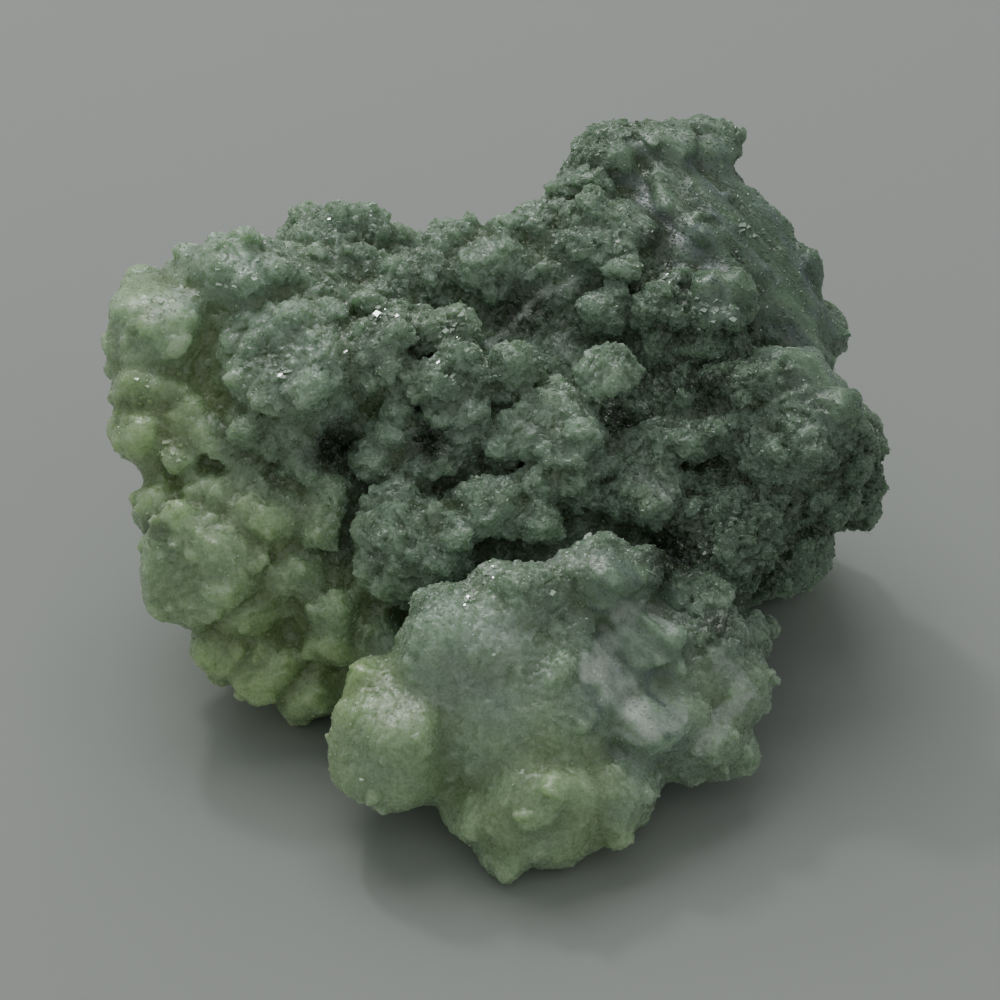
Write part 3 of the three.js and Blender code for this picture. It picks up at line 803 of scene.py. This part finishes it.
def buried(points, other, depth):
    """Which points lie deeper than a depth inside another closed surface."""
    other_points, other_faces = other
    tree = BVHTree.FromPolygons(other_points.tolist(), other_faces.tolist())
    inside = np.zeros(len(points), bool)
    low = other_points.min(axis=0)
    high = other_points.max(axis=0)
    for i in np.flatnonzero(((points > low) & (points < high)).all(axis=1)):
        nearest, normal, _, _ = tree.find_nearest(points[i])
        inside[i] = (Vector(points[i]) - nearest).dot(normal) < -depth
    return inside


def tones(points):
    """How dark and how yellow the stone is at points, from 0 to 1."""
    weights = np.zeros(len(points)) + 1e-6
    totals = np.zeros((len(points), 2))
    places = face_places(points)
    flat = places[:, :2] + 1.2 * wandering(points, 3.0, TONE_SALT, 2)
    for across, up, reach, darkness, yellowness in COLOUR_ZONES:
        distance = np.hypot(flat[:, 0] - across, flat[:, 1] - up) / reach
        weight = 1 / (0.15 + distance**4)
        weights += weight
        totals += weight[:, None] * np.array([darkness, yellowness])
    found = totals / weights[:, None]
    behind = ramp(-places[:, 2], *BACK_FROM)[:, None]
    return found * (1 - behind) + np.array(BACK_TONE) * behind


def from_segment(flat, start, end):
    """Distances of flat places from a straight line between two places."""
    start = np.array(start, float)
    along = np.array(end, float) - start
    part = np.clip((flat - start) @ along / max(along @ along, 1e-9), 0, 1)
    return np.linalg.norm(flat - start - part[:, None] * along, axis=1)


def seen(points):
    """1 on the crystal-covered side and 0 behind it."""
    return ramp(face_places(points)[:, 2], *SEEN_FROM)


def fibrous(points):
    places = face_places(points)
    most = np.zeros(len(points))
    for start, end, reach in FIBROUS_AREAS:
        distance = from_segment(places[:, :2], start, end)
        most = np.maximum(most, np.clip(1.6 - distance / reach, 0, 1))
    return most * seen(points)


def drawn_places(points, faces, weights, count):
    """Places drawn by area and weight: which face, and the shares of its first three corners."""
    first, second, third = (points[faces[:, i]] for i in range(3))
    area = np.linalg.norm(np.cross(second - first, third - first), axis=1)
    drawn = np.cumsum(area * weights[faces[:, :3]].mean(axis=1))
    chosen = np.searchsorted(drawn, rng.uniform(0, drawn[-1], count))
    chosen = np.minimum(chosen, len(faces) - 1)
    one, two = rng.uniform(0, 1, (2, count))
    flip = one + two > 1
    one = np.where(flip, 1 - one, one)
    two = np.where(flip, 1 - two, two)
    return chosen, np.stack([1 - one - two, one, two], axis=1)


def blocks_on(points, faces, row, share, rows):
    """Rounded blocks sunk into a surface. Those of one cluster lie nearly parallel."""
    count, sizes, sunk, squareness, least, most, subdivisions, salt = row
    count = round(count * share)
    darkness = tones(points)[:, 0]
    weights = least + (most - least) * darkness**1.5
    weights = weights * (0.25 + 0.75 * seen(points)) * (1 - 0.9 * fibrous(points))
    weights = weights * (1 - 0.7 * creases(points, rows))
    chosen, shares = drawn_places(points, faces, weights, count)
    corners = faces[chosen, :3]
    places = np.einsum("nc,nci->ni", shares, points[corners])
    normals = vertex_normals(points, faces)[corners[:, 0]]
    _, _, owner = nearest_cells(places, BLOCK_CLUSTER, salt)
    jitter = rng.normal(0, BLOCK_JITTER, (count, 3, 3))
    turns = random_turns(owner, salt + 5) + jitter
    first = unit(turns[:, 0])
    third = unit(np.cross(first, turns[:, 1]))
    turns = np.stack([first, np.cross(third, first), third], axis=1)
    length = sizes[0] + (sizes[1] - sizes[0]) * rng.uniform(0, 1, count) ** 1.7
    halves_of = length[:, None] * np.stack(
        [np.ones(count), rng.uniform(0.65, 1, count), rng.uniform(0.45, 0.85, count)], axis=1
    )
    directions, ball_faces = unit_ball(subdivisions)
    shape = squared(directions, squareness)[None] * halves_of[:, None]
    shape = np.einsum("nvj,nji->nvi", shape, turns)
    middles = places - normals * (sunk * length)[:, None]
    made = (middles[:, None] + shape).reshape(-1, 3)
    return made, numbered(ball_faces, count, len(directions))


def snap(points, normals, size, step, sides, salt):
    """How far each point moves along its normal to reach its cluster's nearest lattice plane."""
    _, middle, owner = nearest_cells(points, size, salt)
    turn = random_turns(owner, salt + 5)
    local = np.einsum("nij,nj->ni", turn, points - middle)
    outward = np.einsum("nij,nj->ni", turn, normals)
    axis = np.argmax(np.abs(outward), axis=1)
    rows = np.arange(len(points))
    height = local[rows, axis]
    lean = outward[rows, axis]
    side_one = np.floor(local[rows, (axis + 1) % 3] / sides[0])
    side_two = np.floor(local[rows, (axis + 2) % 3] / sides[1])
    cluster = owner @ np.array([7, 3, 1])
    shift = chance(np.stack([side_one, side_two, axis, cluster], axis=1), salt + 20)
    level = (np.floor(height / step + shift) + 0.5 - shift) * step
    return (level - height) / lean


def fibre_axes():
    along = unit(np.array(FIBRE_DIRECTION, float) @ FACE_AXES)
    one = unit(np.cross(along, [0, 0, 1]))
    return np.stack([along, one, np.cross(along, one)])


def streaks(points, width, length, salt):
    """Noise drawn out along the fibres."""
    return value_noise(points @ fibre_axes().T / np.array([length, width, width]), 1, salt)


def roughened(points, faces):
    """The surface with its finest relief and its fibres."""
    facing = 0.35 + 0.65 * seen(points)
    straight = fibrous(points)
    darkness = tones(points)[:, 0]
    for size, step, sides, least, most, salt in LATTICES:
        normals = unit(smoothed(vertex_normals(points, faces), faces, 3))
        amount = facing * (least + (most - least) * darkness) * (1 - straight)
        points = points + normals * (amount * snap(points, normals, size, step, sides, salt))[:, None]
        points = smoothed(points, faces, 1, 0.3)
    for size, height, salt in GRAINS:
        near, _, _ = nearest_cells(points, size, salt)
        cap = 1 - near / (0.6 * size)
        normals = vertex_normals(points, faces)
        amount = height * facing * (1 - straight) * (0.5 + 0.6 * darkness)
        points = points + normals * (amount * cap)[:, None]
    normals = vertex_normals(points, faces)
    broad, narrow = RIDGE_SALTS
    ridges = 0.32 * streaks(points, 1.3, 9, broad) + 0.16 * streaks(points, 0.5, 5, narrow)
    points = points + normals * (straight * ridges)[:, None]
    height = np.maximum(points[:, 2], 0)
    points[:, 2] = np.where(height > TOP, TOP + TOP_SHARE * (height - TOP), height)
    return points


def thinned(points, faces, coarse, triangles):
    """The mesh with fewer triangles. The coarse part comes first and has its own number of them."""
    total, coarse_total = triangles
    before = len(faces) * 2
    share = coarse[faces[:, 0]].mean()
    between = before * (1 - share) + coarse_total
    settings = {"use_collapse_triangulate": True, "vertex_group_factor": 0}
    steps = [
        ("DECIMATE", {"ratio": min(1, between / before), "vertex_group": "coarse", **settings}),
        ("DECIMATE", {"ratio": min(1, total / between), "vertex_group": "fine", **settings}),
    ]
    return modified(points, faces, steps, 3, {"coarse": coarse, "fine": ~coarse})


def grown(base, other, crystals, rows, block_shares, triangles):
    """A finished skin from its base form. What lies inside the other skin is coarse."""
    for kinds, size, added in ((LARGE_BLOCKS, ROUGH_VOXEL, crystals), (SMALL_BLOCKS, VOXEL, [])):
        points, faces = base
        parts = [(points, halves(faces)), *added]
        for row, share in zip(kinds, block_shares):
            parts.append(blocks_on(points, faces, row, share, rows))
        points, faces = voxels(*joined(parts), size)
        base = smoothed(points, faces, 1), faces
    points, faces = base
    coarse = (seen(points) < 0.1) | buried(points, other, 1.2)
    points = roughened(points, faces)
    return thinned(points, faces, coarse, triangles)


BACK_LUMPS = LEFT_LUMPS + MIDDLE_LUMPS + BACK_LEFT_LUMPS + CENTRE_LUMPS + RIGHT_LUMPS
main_base = base_form([solid_drawn_in(), *lumps_of(BACK_LUMPS)], BACK_LUMPS, BACK_CREASE_DEPTH)
front_parts = [*bodies_of(FRONT_BODIES), *lumps_of(FRONT_LUMPS)]
front_base = base_form(front_parts, FRONT_LUMPS, FRONT_CREASE_DEPTH)
plates = tabular_crystals()
SKINS = {
    "prehnite_skin": grown(main_base, front_base, plates, BACK_LUMPS, MAIN_SHARES, MAIN_TRIANGLES),
    "prehnite_front": grown(front_base, main_base, [], FRONT_LUMPS, FRONT_SHARES, FRONT_TRIANGLES),
}
LUMPS_OF_SKIN = {"prehnite_skin": BACK_LUMPS, "prehnite_front": FRONT_LUMPS}


# Colours.


def cavity(points, faces, normals):
    """How deep in a hollow each point lies, below 0 on ridges."""
    broad = smoothed(points, faces, 30, 0.6)
    return np.einsum("ni,ni->n", broad - points, normals)


def blended(colour, other, share):
    share = share[:, None]
    return np.array(colour) * (1 - share) + np.array(other) * share


def stone_colours(points, hollow):
    tone = tones(points)
    places = face_places(points)
    front = ramp(places[:, 2], *VEINS_FROM)
    dark = np.clip(tone[:, 0] + 0.18 * layered_noise(points, 2.4, DARK_SALT), 0, 1)
    yellow = np.clip(tone[:, 1] + 0.3 * layered_noise(points, 3.1, YELLOW_SALT), 0, 1)
    pale = blended(PALE_GREEN, YELLOW_GREEN, yellow)
    colour = blended(pale, GREY_GREEN, dark)
    # Painted shade: hollows are drawn towards the colours of crevices, near-black in the dark parts and
    # olive-yellow in the pale parts, where it also paints light glowing through the stone.
    crevice_shade = blended(PALE_CREVICE_SHADE, DARK_CREVICE_SHADE, dark)
    deep = ((0.6 + 0.25 * dark) * np.clip(hollow / 0.45, 0, 1))[:, None]
    colour = colour * (1 - deep) + crevice_shade * deep
    # Painted highlight: ridges are made lighter.
    colour = colour * (1 + 0.35 * np.clip(-hollow / 0.35, 0, 1))[:, None]
    # Painted sheen: blue-grey streaks along the fibres stand in for light on their silky surface.
    broad, narrow = LIT_FIBRE_SALTS
    lit = 1.6 * streaks(points, 0.9, 11, broad) + 0.8 * streaks(points, 0.35, 6, narrow)
    colour = blended(colour, FIBRE_SHEEN_GREY, fibrous(points) * np.clip(lit, 0, 1))
    ragged = wandering(points, 0.9, RAGGED_SALT, 2)
    flat = places[:, :2] + 0.5 * ragged
    broken = layered_noise(points, 0.9, BROKEN_SALT)
    # Painted shade of the pits, darkened together with the byssolite in them.
    for across, up, reach, strength in SHADED_BYSSOLITE_PITS:
        distance = np.hypot(flat[:, 0] - across, flat[:, 1] - up) / reach
        colour = blended(colour, PIT_SHADE_AND_BYSSOLITE, front * strength * np.clip(1.5 - 1.5 * distance, 0, 1))
    for start, end, half_width, strength in WHITE_STREAKS:
        distance = from_segment(flat, start, end) / half_width
        share = 0.85 * strength * np.clip(2.2 * (1.1 - distance + 0.6 * broken), 0, 1)
        share = share * (0.8 + 0.5 * ragged[:, 0])
        colour = blended(colour, VEIN_WHITE, front * np.clip(share, 0, 1))
    return colour


def paint(mesh, name, colours):
    attribute = mesh.attributes.new(name, "FLOAT_COLOR", "POINT")
    full = np.ones((len(colours), 4), np.float32)
    full[:, :3] = colours
    attribute.data.foreach_set("color", full.ravel())


def feed(material, node, sockets):
    """Sets a node's sockets to values, or links them to other nodes' outputs."""
    for socket, value in sockets.items():
        if isinstance(value, bpy.types.NodeSocket):
            material.node_tree.links.new(value, node.inputs[socket])
        else:
            node.inputs[socket].default_value = value


def made_node(material, kind, output, sockets, **settings):
    """The output of a new node."""
    node = material.node_tree.nodes.new("ShaderNode" + kind)
    for key, value in settings.items():
        setattr(node, key, value)
    feed(material, node, sockets)
    return node.outputs[output]


def attribute_value(material, output, name):
    return made_node(material, "Attribute", output, {}, attribute_name=name)


def stretched(material, value, start, end, low, high):
    """A value from a start to an end, stretched to run from low to high."""
    bounds = {"From Min": start, "From Max": end, "To Min": low, "To Max": high}
    return made_node(material, "MapRange", "Result", {"Value": value, **bounds})


def stone_material(name, scatter_weight, scatter_scale, roughness, grain):
    """Translucent stone. Without a scatter weight, the mesh's own glow is taken."""
    material = bpy.data.materials.new(name)
    material.use_nodes = True
    if scatter_weight is None:
        scatter_weight = attribute_value(material, "Fac", "glow")
    place = made_node(material, "TexCoord", "Object", {})
    scale = {"Vector": place, "Scale": 1 / (FINE_SIZE * METRES), "Detail": 4}
    fine = made_node(material, "TexNoise", "Fac", scale)
    tinted = {
        "Factor": 1,
        "A": attribute_value(material, "Color", "tint"),
        "B": stretched(material, fine, 0.3, 0.7, 0.9, 1.12),
    }
    colour = made_node(material, "Mix", "Result", tinted, data_type="RGBA", blend_type="MULTIPLY")

    # Tiny facets: each cell of a fine pattern turns the surface its own way.
    scale = {"Vector": place, "Scale": 1 / (FACET_SIZE * METRES)}
    facets = made_node(material, "TexVoronoi", "Color", scale)
    turn = {0: facets, 1: (0.5, 0.5, 0.5)}
    turn = made_node(material, "VectorMath", "Vector", turn, operation="SUBTRACT")
    turn = {0: turn, "Scale": attribute_value(material, "Fac", "sugar")}
    turn = made_node(material, "VectorMath", "Vector", turn, operation="SCALE")
    relief = {"Strength": 0.7, "Distance": grain * METRES, "Height": fine}
    relief = made_node(material, "Bump", "Normal", relief)
    normal = made_node(material, "VectorMath", "Vector", {0: relief, 1: turn}, operation="ADD")
    normal = made_node(material, "VectorMath", "Vector", {0: normal}, operation="NORMALIZE")
    sockets = {
        "Subsurface Weight": scatter_weight,
        "Subsurface Scale": scatter_scale * METRES,
        "Subsurface Radius": SCATTER_RADIUS,
        "IOR": REFRACTIVE_INDEX,
        "Base Color": colour,
        "Roughness": stretched(material, fine, 0.35, 0.65, *roughness),
        "Normal": normal,
    }
    feed(material, material.node_tree.nodes["Principled BSDF"], sockets)
    return material


def mark(mesh, name, values):
    """A number for each point, which the material reads."""
    attribute = mesh.attributes.new(name, "FLOAT", "POINT")
    attribute.data.foreach_set("value", np.asarray(values, np.float32))


def part_of_stone(name, mesh):
    piece = linked(name, mesh)
    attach(piece, BODY)
    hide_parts(NODE)


skin_material = stone_material("prehnite_skin", None, 3.6, (0.16, 0.36), 0.05)
skin_colours = {}
for name, (points, faces) in SKINS.items():
    mesh = mesh_from(name, points * METRES, faces)
    mesh.shade_smooth()
    mesh.set_sharp_from_angle(angle=math.radians(SHARP_ANGLE_DEG))
    normals = vertex_normals(points, faces)
    # How hollow each point lies, which sets the painted shade in crevices and the painted highlight on
    # ridges.
    hollow = cavity(points, faces, normals) + 0.1 * creases(points, LUMPS_OF_SKIN[name])
    skin_colours[name] = stone_colours(points, hollow)
    paint(mesh, "tint", skin_colours[name])
    darkness = tones(points)[:, 0]
    sheen = np.clip(value_noise(points, 2.2, SHEEN_SALT) + 0.3, 0, 1)
    mark(mesh, "sugar", (0.2 + 0.5 * darkness) * (0.6 + 0.7 * sheen) * (1 - 0.6 * fibrous(points)))
    mark(mesh, "glow", 0.95 - 0.55 * darkness)
    mesh.materials.append(skin_material)
    part_of_stone(name, mesh)

# Separate crystals and needles.

names = list(SKINS)
all_points, all_faces = joined([SKINS[name] for name in names])
all_normals = np.concatenate([vertex_normals(*SKINS[name]) for name in names])
all_colours = np.concatenate([skin_colours[name] for name in names])
pairs = (names, names[::-1])
hidden = np.concatenate([buried(SKINS[one][0], SKINS[two], 0.3) for one, two in pairs])
all_darkness = tones(all_points)[:, 0]
all_fibrous = fibrous(all_points)
all_seen = (0.2 + 0.8 * seen(all_points)) * np.clip(all_points[:, 2] / 1.5, 0, 1) * ~hidden


def scattered(count, weights):
    """Places on the skin, drawn by area and weight: points, normals and the nearest skin corners."""
    chosen, shares = drawn_places(all_points, all_faces, weights, count)
    corners = all_faces[chosen]
    places = np.einsum("nc,nci->ni", shares, all_points[corners])
    return places, all_normals[corners[:, 0]], corners[:, 0]


def sides_of(normals, points, salt):
    """Two directions along the surface for each normal, shared within a cluster."""
    _, _, owner = nearest_cells(points, CRYSTAL_CLUSTER, salt)
    shared = random_turns(owner, salt + 3)[:, 0]
    one = unit(np.cross(normals, shared))
    return one, np.cross(normals, one)


def crystal_colours(corners, per_crystal):
    frost = 0.25 * rng.uniform(0, 1, (len(corners), 1)) ** 3
    shade = rng.uniform(0.95, 1.2, (len(corners), 1))
    colours = (all_colours[corners] * (1 - frost) + np.array(FROST) * frost) * shade
    return np.repeat(colours, per_crystal, axis=0)


CORNER_FACES = np.array([[0, 1, 2], [0, 2, 3], [0, 3, 1], [1, 3, 2]])
BOX_SIDES = np.array([[0, 3, 2, 1], [4, 5, 6, 7], [0, 1, 5, 4], [1, 2, 6, 5], [2, 3, 7, 6], [3, 0, 4, 7]])
BOX_FACES = BOX_SIDES[:, [0, 1, 2, 0, 2, 3]].reshape(-1, 3)
NEEDLE_FACES = np.array([[0, 2, 1], [0, 3, 2], [0, 1, 3], [4, 1, 2], [4, 2, 3], [4, 3, 1]])


def corner_crystals(count, lengths, least, most, salt):
    """The corners of small blocks that stand out of the skin."""
    weights = (least + (most - least) * all_darkness) * all_seen * (1 - 0.6 * all_fibrous)
    points, normals, corners = scattered(count, weights)
    lean = unit(normals + rng.normal(0, 0.28, normals.shape))
    one, two = sides_of(lean, points, salt)
    length = lengths[0] + (lengths[1] - lengths[0]) * rng.uniform(0, 1, count) ** 1.6
    around = rng.uniform(-0.5, 0.5, count)
    apex = points + lean * (0.36 * length)[:, None]
    placed = [apex]
    for i in range(3):
        angle = around + i * 2 * math.pi / 3
        edge = (one * np.cos(angle)[:, None] + two * np.sin(angle)[:, None]) * math.sqrt(2 / 3)
        edge += lean * math.sqrt(1 / 3)
        placed.append(apex - edge * (length * rng.uniform(0.75, 1.45, count))[:, None])
    points = np.stack(placed, axis=1).reshape(-1, 3)
    return points, numbered(CORNER_FACES, count, 4), crystal_colours(corners, 4)


def needles(count, lengths, radius):
    """Byssolite needles that lie along the fibres, pointed at both ends."""
    weights = (all_fibrous + 0.04 * all_darkness) * all_seen
    points, normals, corners = scattered(count, weights)
    along = unit(fibre_axes()[0] + rng.normal(0, 0.16, (count, 3)))
    along -= normals * np.einsum("ni,ni->n", along, normals)[:, None]
    along = unit(unit(along) + normals * rng.uniform(-0.05, 0.16, (count, 1)))
    one = unit(np.cross(along, normals))
    two = np.cross(along, one)
    length = rng.uniform(*lengths, (count, 1))
    middle = points + normals * radius * 0.5
    placed = [middle - along * length / 2]
    for i in range(3):
        angle = i * 2 * math.pi / 3
        placed.append(middle + radius * (one * math.cos(angle) + two * math.sin(angle)))
    placed.append(middle + along * length / 2)
    points = np.stack(placed, axis=1).reshape(-1, 3)
    return points, numbered(NEEDLE_FACES, count, 5), crystal_colours(corners, 5)


def bright_crystals(count, lengths, spread):
    """Small flat boxes with one face towards the light, mostly on ledges and ridges."""
    upward = np.clip(all_normals @ np.array(BRIGHT_DIRECTION), 0, 1)
    flat = face_places(all_points)[:, :2]
    grouped = np.full(len(all_points), 0.006)
    for across, up, reach in BRIGHT_GROUPS:
        distance = np.hypot(flat[:, 0] - across, flat[:, 1] - up) / reach
        grouped += np.exp(-(distance**2)) / reach
    weights = grouped * (0.1 + upward**2) * all_seen * (all_seen > 0.9)
    points, normals, corners = scattered(count, weights)
    lean = unit(np.array(BRIGHT_DIRECTION) + rng.normal(0, spread, (count, 3)))
    one, two = sides_of(lean, points, BRIGHT_SALT)
    half = lengths[0] + (lengths[1] - lengths[0]) * rng.uniform(0, 1, (count, 1)) ** 2
    wide = half * rng.uniform(0.4, 1, (count, 1))
    placed = []
    for high in (-1, 0.35):
        for along, across in ((-1, -1), (1, -1), (1, 1), (-1, 1)):
            placed.append(points + one * half * along + two * wide * across + lean * half * high)
    points = np.stack(placed, axis=1).reshape(-1, 3)
    return points, numbered(BOX_FACES, count, 8), crystal_colours(corners, 8)


crystal_material = stone_material("prehnite_crystal", 0.25, 0.6, (0.15, 0.4), 0.02)
clear_material = stone_material("prehnite_clear", 0.2, 0.6, (0.04, 0.09), 0)


def crystal_piece(name, made, material, facets):
    points, faces, colours = made
    points[:, 2] = np.maximum(points[:, 2], 0.01)
    mesh = mesh_from(name, points * METRES, faces)
    mesh.shade_flat()
    paint(mesh, "tint", colours)
    mark(mesh, "sugar", np.full(len(points), facets))
    mesh.materials.append(material)
    part_of_stone(name, mesh)


for number, row in enumerate(CORNER_CRYSTALS):
    made = corner_crystals(*row)
    crystal_piece(f"sugary_crystals_{number + 1}", made, crystal_material, 0.3)
crystal_piece("bright_crystals", bright_crystals(*BRIGHT_CRYSTALS), clear_material, 0)
crystal_piece("byssolite_needles", needles(*NEEDLES), crystal_material, 0.1)

# Floor, light and camera.


def floor_plane():
    corners = np.array([[-1, -1, 0], [1, -1, 0], [1, 1, 0], [-1, 1, 0]])
    mesh = mesh_from("floor", FLOOR_HALF * corners, [[0, 1, 2, 3]])
    material = bpy.data.materials.new("floor")
    material.use_nodes = True
    sockets = {"Base Color": FLOOR_COLOUR, "Roughness": FLOOR_ROUGHNESS}
    feed(material, material.node_tree.nodes["Principled BSDF"], sockets)
    mesh.materials.append(material)
    floor = linked("floor", mesh)


def soft_light(name, azimuth_deg, elevation_deg, distance, size, power):
    """A square light that faces the stone."""
    light = bpy.data.lights.new(name, "AREA")
    light.size = size
    light.energy = power
    lamp = linked(name, light)
    azimuth = math.radians(azimuth_deg)
    elevation = math.radians(elevation_deg)
    flat = math.cos(elevation)
    away = Vector((math.sin(azimuth) * flat, -math.cos(azimuth) * flat, math.sin(elevation)))
    lamp.location = away * distance
    lamp.rotation_euler = away.to_track_quat("Z", "Y").to_euler()


floor_plane()
for row in LIGHTS:
    soft_light(*row)

world = bpy.data.worlds.new("studio")
world.use_nodes = True
sockets = {"Color": WORLD_COLOUR, "Strength": WORLD_STRENGTH}
feed(world, world.node_tree.nodes["Background"], sockets)
bpy.context.scene.world = world

camera_data = bpy.data.cameras.new("camera")
camera_data.sensor_width = SENSOR_WIDTH
camera_data.lens = SENSOR_WIDTH * PIXELS_PER_MM * CAMERA_DISTANCE / IMAGE_SIZE
camera = linked("camera", camera_data)
camera.location = Vector(on_face([0, 0, CAMERA_DISTANCE])) * METRES
camera.rotation_euler = (slope, 0, 0)
bpy.context.scene.camera = camera
